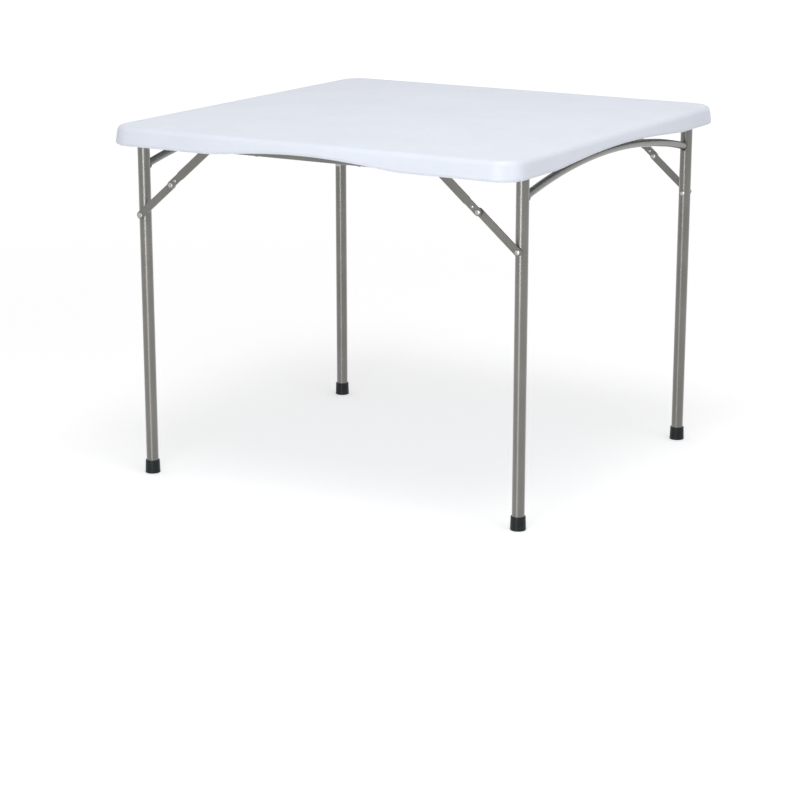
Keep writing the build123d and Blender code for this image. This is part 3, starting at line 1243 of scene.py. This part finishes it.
@dataclass
class LegPair(PairWork):
    """Pivot tube, two legs, arched brace, foot caps and leg rivets of one pair."""

    pivot_radius: float = 0.008
    pivot_end: float = 0.4445
    pivot_wall: float = 0.0015
    leg_radius: float = 0.0127
    leg_wall: float = 0.0013
    leg_top: float = 0.719
    leg_foot: float = 0.004
    brace_radius: float = 0.008
    cope_gap: float = 0.0002
    cope_reach: float = 0.02
    bead_radius: float = 0.0014
    bead_wobble: float = 0.0003
    pivot_bead: float = 0.0008
    brace_bead: float = 0.0004
    bead_rise: float = 0.0015
    weld_reach: float = 0.027
    weld_spread: float = 0.0042
    rivet_radius: float = 0.0032
    rivet_seat: float = 0.0188
    rivet_sink: float = 0.0004
    rivet_roots: tuple[float, float] = (0.002, 0.003)

    def build(self) -> None:
        """Builds every piece of the pair."""
        letter, body = self.pair.value, "leg_frame_" + self.pair.value
        x, z = self.layout.pivot_x, self.layout.pivot_z
        pivot = tube("cross_tube_" + letter, self.pivot_radius, self.pivot_wall,
                     (x, -self.pivot_end, z), (x, self.pivot_end, z), 48)
        self.fit(pivot, body, Slot.PAINT, "pivot_tube_" + letter)
        self.fit(self.arch("bowed_brace_" + letter), body, Slot.PAINT, "arched_brace_" + letter)
        rivets = []
        for side in Side:
            name, y = f"{letter}_{side.value}", self.layout.leg_y(side)
            self.fit(self.leg("tube_leg_" + name, y), body, Slot.PAINT, "leg_" + name)
            self.fit(self.cap("rubber_cap_" + name, y), body, Slot.RUBBER, "foot_cap_" + name)
            rivets += self.rivet(side, y)
        self.fit(merge(rivets, "leg_rivet_set_" + letter), body, Slot.ZINC, "leg_rivets_" + letter)

    def leg(self, name: str, y: float) -> Obj:
        """Leg tube, coped round the pivot tube, with its weld beads.

        Args:
            name: Name of the piece.
            y: Place along the pivot tube.

        Returns:
            The leg.
        """
        x, z = self.layout.pivot_x, self.layout.pivot_z
        leg = tube(name, self.leg_radius, self.leg_wall, (x, y, self.leg_foot),
                   (x, y, self.leg_top))
        bore(leg, self.pivot_radius + self.cope_gap, (-self.cope_reach, self.cope_reach), (x, y, z),
             ALONG_Y, 64)
        radius = self.pivot_radius + self.pivot_bead
        beads = [self.bead(radius, (x, y + hand * self.leg_radius, z), ALONG_Y) for hand in HANDS]
        return merge([leg, *beads], name)

    def bead(self, radius: float, place: Point, axis: Point) -> Obj:
        """Slightly uneven ring of weld round a tube.

        Args:
            radius: Radius of the ring's middle.
            place: Centre of the ring.
            axis: Axis of the ring.

        Returns:
            The ring.
        """
        ring = add("bead", bpy.ops.mesh.primitive_torus_add, major_radius=radius,
                   minor_radius=self.bead_radius, major_segments=40, minor_segments=10,
                   location=place)
        aim(ring, axis)
        with editing(settle(ring)):
            bpy.ops.transform.vertex_random(offset=self.bead_wobble, seed=4)
        return ring

    def arch(self, name: str) -> Obj:
        """Bowed tube between the legs, coped onto them and welded to the pivot tube.

        Args:
            name: Name of the piece.

        Returns:
            The tube.
        """
        layout, x, z = self.layout, self.layout.pivot_x, self.layout.pivot_z
        centre = (x, layout.offset, z - layout.apex_drop - layout.radius)
        swing = math.asin(layout.half_span / layout.radius)
        start = (x, centre[1] + layout.radius * math.sin(swing),
                 centre[2] + layout.radius * math.cos(swing))
        arch = add(name, bpy.ops.mesh.primitive_circle_add, vertices=40, radius=self.brace_radius,
                   fill_type="NOTHING", location=start, rotation=(math.pi / 2 - swing, 0, 0))
        with editing(settle(arch)):
            bpy.ops.mesh.spin(steps=72, angle=-2 * swing, center=centre, axis=(1, 0, 0))
        give_wall(arch, self.leg_wall)
        welds = []
        for hand in HANDS:
            y = layout.offset + hand * layout.half_span
            bore(arch, self.leg_radius + self.cope_gap, (0.6, 0.7), (x, y, 0), UP, 64)
            lean = (0, math.cos(swing), -hand * math.sin(swing))
            place = (x, y - hand * (self.leg_radius + self.brace_bead),
                     z - layout.end_drop + self.bead_rise)
            welds.append(self.bead(self.brace_radius + self.brace_bead, place, lean))
        welds += [self.crown_weld(layout.offset + hand * self.weld_reach) for hand in HANDS]
        return merge([arch, *welds], name)

    def crown_weld(self, y: float) -> Obj:
        """Short weld between the brace's crown and the pivot tube, a bead on each face.

        Args:
            y: Its middle.

        Returns:
            The weld.
        """
        profile = [(0.0006, -0.011), (0.0022, -0.009), (0.0028, -0.004), (0.0025, 0.002),
                   (0.0028, 0.007), (0.0012, 0.011)]
        x, z = self.layout.pivot_x, self.layout.pivot_z - self.pivot_radius
        return merge([turned("weld", profile, (x + hand * self.weld_spread, y, z), ALONG_Y, 12)
                      for hand in HANDS], "weld")

    def cap(self, name: str, y: float) -> Obj:
        """Rubber cup under a leg.

        Args:
            name: Name of the piece.
            y: Place of the leg.

        Returns:
            The cap.
        """
        profile = [(0.0148, 0.0), (0.0156, 0.0003), (0.0159, 0.0012), (0.0158, 0.0045),
                   (0.0154, 0.0052), (0.0153, 0.0060), (0.0156, 0.0068), (0.0150, 0.0240),
                   (0.0149, 0.0268), (0.0145, 0.0278), (0.0136, 0.0280), (0.0128, 0.0276),
                   (0.0128, 0.0045)]
        return turned(name, profile, (self.layout.pivot_x, y, 0), UP, 56)

    def rivet(self, side: Side, y: float) -> list[Obj]:
        """Rivet through a leg, with the collar that carries the lower link.

        Args:
            side: Which leg.
            y: Place of the leg.

        Returns:
            Its turned pieces.
        """
        place = (self.layout.pivot_x, y, self.layout.pivot_z - self.layout.rivet_drop)
        out, back = (0, side.sign, 0), (0, -side.sign, 0)
        shank, face, roots = self.rivet_radius, self.leg_radius, self.rivet_roots
        collar = [(0.0045, face - 0.0006), (0.00475, face - 0.0002), (0.00475, 0.0150),
                  (0.0046, 0.0152)]
        outer = domed_head(self.rivet_seat, shank, face - roots[0])
        inner = domed_head(face - self.rivet_sink, shank, face - roots[1])
        return [turned("rivet", outer, place, out, 40), turned("collar", collar, place, out, 40),
                turned("rivet", inner, place, back, 40)]


@dataclass
class FoldingBrace(PairWork):
    """Two links, their rivets and the bracket beside one leg, drawn for pair a."""

    side: Side
    reach: float = 0.190
    link: float = 0.003
    lower_in: float = 0.0155
    upper_in: float = 0.0211
    ear_in: float = 0.0244
    sheet: float = 0.0025
    lower_width: float = 0.016
    head_width: float = 0.0155
    upper_width: float = 0.0175
    neck: float = 0.033
    stop: float = 0.015
    rivet_radius: float = 0.0032
    stop_radius: float = 0.002
    stud_sink: float = 0.0003
    stop_head: float = 0.00325
    stop_height: float = 0.0017
    running: float = 0.00005
    drill_overrun: float = 0.002
    link_round: float = 0.0004
    ear_round: float = 0.0003
    bracket_width: float = 0.030
    ear_foot: float = 0.004
    bend_radius: float = 0.00325
    channel_foot: float = 0.002
    channel_top: float = 0.018
    channel_round: float = 0.0022

    @property
    def tag(self) -> str:
        """Ending of the names of this brace's pieces."""
        return f"{self.pair.value}_{self.side.value}"

    @property
    def out(self) -> Point:
        """Direction outboard, from the leg towards the brace."""
        return (0, self.side.sign, 0)

    @property
    def span(self) -> float:
        """Length of the straight brace between its end rivets."""
        return math.hypot(self.layout.rivet_drop, self.reach)

    @property
    def middle(self) -> float:
        """Distance of the middle pivot from the leg rivet."""
        return (self.layout.rivet_drop - self.reach + self.span) / 2

    def point(self, distance: float, out: float) -> Vector:
        """Place on the straight brace.

        Args:
            distance: How far from the leg rivet, towards the bracket.
            out: How far outboard from the leg's axis.

        Returns:
            The place.
        """
        share = distance / self.span
        x = self.layout.pivot_x - share * self.reach
        z = self.layout.pivot_z - self.layout.rivet_drop * (1 - share)
        return Vector((x, self.layout.leg_y(self.side) + self.side.sign * out, z))

    def build(self) -> Obj:
        """Builds the links, the rivets and the bracket.

        Returns:
            The bracket's rivet, which joins those of the other brackets.
        """
        tag, middle, span, shank = self.tag, self.middle, self.span, self.rivet_radius
        lower, upper = "lower_link_" + tag, "upper_link_" + tag
        lower_out, upper_out = self.lower_in + self.link, self.upper_in + self.link

        strap = self.bar("lower_strap_" + tag, 0, middle, self.lower_in, self.lower_width)
        self.drill(strap, [(0, shank), (middle, shank)], self.lower_in)
        self.fit(strap, lower, Slot.PAINT, lower)

        strap = self.bar("upper_strap_" + tag, middle + self.neck, span, self.upper_in,
                         self.upper_width)
        combine(strap, self.bar("head", middle, span, self.upper_in, self.head_width), "UNION")
        holes = [(middle, shank), (span, shank), (middle + self.stop, self.stop_radius)]
        self.drill(strap, holes, self.upper_in)
        self.fit(strap, upper, Slot.PAINT, upper)

        collar = [(0.00455, 0.0188), (0.00475, 0.0190), (0.00475, self.upper_in)]
        head = domed_head(upper_out, shank, self.upper_in)
        stud = self.pin("pivot_rivet_" + tag, collar + head, middle)
        self.fit(stud, upper, Slot.ZINC, "pivot_stud_" + tag)
        tail = self.pin("pivot_tail_" + tag, domed_head(-self.lower_in, shank, -lower_out), middle,
                        -1)
        self.fit(tail, lower, Slot.ZINC, "pivot_cap_" + tag)
        heads = double_head(self.upper_in, upper_out, self.stop_radius, radius=self.stop_head,
                            height=self.stop_height)
        self.fit(self.pin("stop_pin_" + tag, heads, middle + self.stop), upper, Slot.ZINC,
                 "stop_rivet_" + tag)

        bracket = self.strip_bracket() if self.side is Side.INNER else self.channel_bracket()
        self.fit(self.eared(bracket), "top", Slot.PAINT, "bracket_" + tag)
        heads = double_head(self.upper_in - self.stud_sink, self.ear_in + self.sheet, shank)
        return half_turned(self.pin("rivet", heads, span), self.pair)

    def bar(self, name: str, start: float, end: float, low: float, width: float) -> Obj:
        """Flat bar with round ends along the straight brace.

        Args:
            name: Name of the new object.
            start: Distance of one end's centre from the leg rivet.
            end: Distance of the other.
            low: How far outboard the bar starts.
            width: Its width.

        Returns:
            The bar.
        """
        sides = 44
        bar = add(name, bpy.ops.mesh.primitive_circle_add, vertices=sides, radius=width / 2,
                  fill_type="NGON")
        with editing(bar):
            bpy.ops.transform.rotate(value=math.pi / sides, orient_axis="Z",
                                     center_override=(0, 0, 0))
            select(bar, "VERT", lambda vert: vert.co.x > 0)
            bpy.ops.transform.translate(value=(end - start, 0, 0))
            bpy.ops.mesh.select_all(action="SELECT")
            extrude(0, 0, self.link)
            point_out()
        first = self.point(start, low)
        along = (self.point(end, low) - first).normalized()
        out = Vector(self.out)
        turn = Matrix((along, out.cross(along), out)).transposed().to_4x4()
        bar.matrix_world = Matrix.Translation(first) @ turn
        return settle(bar)

    def drill(self, bar: Obj, holes: list[tuple[float, float]], low: float) -> None:
        """Drills a bar and eases its edges.

        Args:
            bar: The bar.
            holes: Pairs of distance from the leg rivet and radius.
            low: How far outboard the bar starts.
        """
        ends = (-self.drill_overrun, self.link + self.drill_overrun)
        for distance, radius in holes:
            bore(bar, radius + self.running, ends, self.point(distance, low), self.out, 36)
        bevel_edges(bar, is_sharp, self.link_round, 2)

    def pin(self, name: str, profile: Profile, distance: float, outward: int = 1) -> Obj:
        """Turned rivet or half of one.

        Args:
            name: Name of the new object.
            profile: Pairs of radius and height from the leg's axis.
            distance: Its place along the brace.
            outward: 1 where heights run outboard, -1 where they run inboard.

        Returns:
            The rivet.
        """
        axis = (0, outward * self.side.sign, 0)
        return turned(name, profile, self.point(distance, 0), axis, 36)

    def strip_bracket(self) -> Obj:
        """Bent strip from the rail, over the other pair's folded leg, to an ear by the inner leg.

        Returns:
            The bracket.
        """
        layout, hand, half, sheet = self.layout, self.side.sign, self.bracket_width / 2, self.sheet
        ear_y = layout.leg_y(self.side) + hand * (self.ear_in + sheet / 2)
        low, high = layout.pivot_z - half + self.ear_foot, layout.floor_z - sheet / 2
        at_top = above(high)
        strip = add("long_bracket_" + self.tag, bpy.ops.mesh.primitive_plane_add, size=1,
                    location=(layout.pivot_x - self.reach, ear_y, (low + high) / 2),
                    rotation=(math.pi / 2, 0, 0))
        strip.scale = (2 * half, high - low, 1)
        with editing(settle(strip)):
            select(strip, "VERT", lambda vert: vert.co.z < low + NEAR)
            bpy.ops.mesh.bevel(offset=half - self.ear_foot, segments=6, affect="VERTICES")
            select(strip, "EDGE", at_top)
            extrude(0, hand * (layout.rail_y - sheet / 2) - ear_y, 0)
            extrude(0, 0, layout.rail_z + self.ear_foot - high)
        bend = lambda edge: len(edge.link_faces) == 2 and at_top(edge)
        bevel_edges(strip, bend, self.bend_radius, 5)
        return modify(strip, "SOLIDIFY", thickness=sheet, offset=0)

    def channel_bracket(self) -> Obj:
        """Shallow pressed channel on the rail, with its web beside the outer leg.

        Returns:
            The bracket.
        """
        layout, sheet, over = self.layout, self.sheet, self.drill_overrun
        half = self.bracket_width / 2
        x, y = layout.pivot_x - self.reach, layout.leg_y(self.side) + self.ear_in
        low, high = layout.rail_z + self.channel_foot, layout.rail_z + self.channel_top
        shell = block("short_bracket_" + self.tag, (x - half, y, low),
                      (x + half, layout.rail_y, high))
        combine(shell, block("hollow", (x - half + sheet, y + sheet, low - over),
                             (x + half - sheet, layout.rail_y + over, high + over)))
        bevel_edges(shell, lambda edge: is_upright(edge) and abs(edge.verts[0].co.y - y) < TINY,
                    self.channel_round, 4)
        return shell

    def eared(self, bracket: Obj) -> Obj:
        """Drills the ear of a bracket for its rivet and eases its edges.

        Args:
            bracket: The bracket.

        Returns:
            The same bracket.
        """
        over = self.drill_overrun
        ends = (self.ear_in - over, self.ear_in + self.sheet + over)
        place = self.point(self.span, 0)
        bore(bracket, self.rivet_radius + self.running, ends, place, self.out, 36)
        bevel_edges(bracket, is_sharp, self.ear_round, 2)
        return bracket


# Studio


@dataclass(frozen=True)
class Lamp:
    """Soft rectangular lamp, given by its place, what it points at, its size and its watts."""

    name: str
    place: Point
    target: Point
    size: tuple[float, float]
    power: float

    def build(self) -> None:
        """Hangs the lamp, unseen by the camera."""
        data = bpy.data.lights.new(self.name, "AREA")
        data.shape = "RECTANGLE"
        data.size, data.size_y = self.size
        data.energy = self.power
        lamp = bpy.data.objects.new(self.name, data)
        lamp.location = self.place
        aim(lamp, Vector(self.target) - Vector(self.place), "-Z")
        lamp.visible_camera = False
        bpy.context.scene.collection.objects.link(lamp)


@dataclass
class Studio:
    """Camera, pale floor, lamps and white surroundings.

    The glint lamp stands below the floor. The floor lets mirrored rays through, so this lamp
    lengthens the key lamp's streak on the legs and lights nothing else.
    """

    position: Point = (2.411, -4.119, 1.409)
    heading: float = 120.9
    pitch: float = 15.08
    lens: float = 102.8
    floor_size: float = 40.0
    floor_drop: float = 0.0005
    floor_grey: float = 0.80
    near: float = 1.2
    far: float = 7.0
    glow_near: float = 0.44
    glow_far: float = 0.75
    room: float = 0.50
    lamps: tuple[Lamp, ...] = (
        Lamp("key", (0.5, -2.5, 0.52), (0.1, 0, 0.52), (0.80, 1.00), 17),
        Lamp("glint", (0.5, -2.5, -0.50), (0.1, 0, -0.50), (0.80, 1.00), 6),
        Lamp("fill", (4.4, -0.8, 1.9), (0, 0, 0.45), (3.0, 3.0), 36),
        Lamp("top", (0.55, -0.75, 3.1), (0.1, -0.1, 0.7), (1.5, 1.5), 29),
    )

    def build(self) -> None:
        """Builds the whole studio."""
        self.camera()
        self.floor()
        for lamp in self.lamps:
            lamp.build()
        self.world()
        bpy.context.scene.view_settings.view_transform = "Standard"

    def camera(self) -> None:
        """Camera at the photograph's place."""
        data = bpy.data.cameras.new("camera")
        data.sensor_width = 36
        data.lens = self.lens
        data.clip_end = 100
        camera = bpy.data.objects.new("camera", data)
        yaw, pitch = math.radians(self.heading), math.radians(self.pitch)
        level = math.cos(pitch)
        aim(camera, (math.cos(yaw) * level, math.sin(yaw) * level, -math.sin(pitch)), "-Z")
        camera.location = self.position
        bpy.context.scene.collection.objects.link(camera)
        bpy.context.scene.camera = camera

    def floor(self) -> None:
        """Large pale floor that shows white and keeps the table's shadow."""
        floor = settle(add("studio_floor", bpy.ops.mesh.primitive_plane_add, size=self.floor_size,
                           location=(0, 0, -self.floor_drop)))
        floor.visible_glossy = False
        graph = Graph(bpy.data.materials.new("pale_floor"))
        reach = graph.add("ShaderNodeVectorMath", {0: graph.coordinates()}, operation="LENGTH")
        rise = graph.spread(reach.outputs["Value"], self.glow_near, self.glow_far, self.near,
                            self.far)
        level = graph.calculate("MULTIPLY", graph.seen(), rise)
        matt = graph.add("ShaderNodeBsdfDiffuse", {"Color": (*[self.floor_grey] * 3, 1)})
        glow = graph.add("ShaderNodeEmission", {"Color": WHITE, "Strength": level})
        graph.show(graph.add("ShaderNodeAddShader", {0: matt.outputs[0], 1: glow.outputs[0]}))
        floor.data.materials.append(graph.owner)

    def world(self) -> None:
        """White surroundings, seen at full strength and lighting at less."""
        graph = Graph(bpy.data.worlds.new("white_room"))
        bpy.context.scene.world = graph.owner
        dim, full = (graph.add("ShaderNodeBackground", {"Color": WHITE, "Strength": strength})
                     for strength in (self.room, 1.0))
        inputs = {0: graph.seen(), 1: dim.outputs[0], 2: full.outputs[0]}
        graph.show(graph.add("ShaderNodeMixShader", inputs))


def main() -> None:
    """Builds the table's pieces in order, then the studio."""
    logging.basicConfig(level=logging.INFO, format="%(message)s")
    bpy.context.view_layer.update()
    finishes = {slot: finish.build() for slot, finish in FINISHES.items()}
    layout = Layout()
    MouldedTop(finishes, layout).build()
    SideRails(finishes, layout).build()
    rivets = []
    for pair in Pair:
        LegPair(finishes, layout, pair).build()
        rivets += [FoldingBrace(finishes, layout, pair, side).build() for side in Side]
    rivet_set = tidy_mesh(merge(rivets, "bracket_rivet_set"))
    dress(rivet_set, finishes, "top", Slot.ZINC, "bracket_rivets")
    Studio().build()


if __name__ == "__main__":
    main()
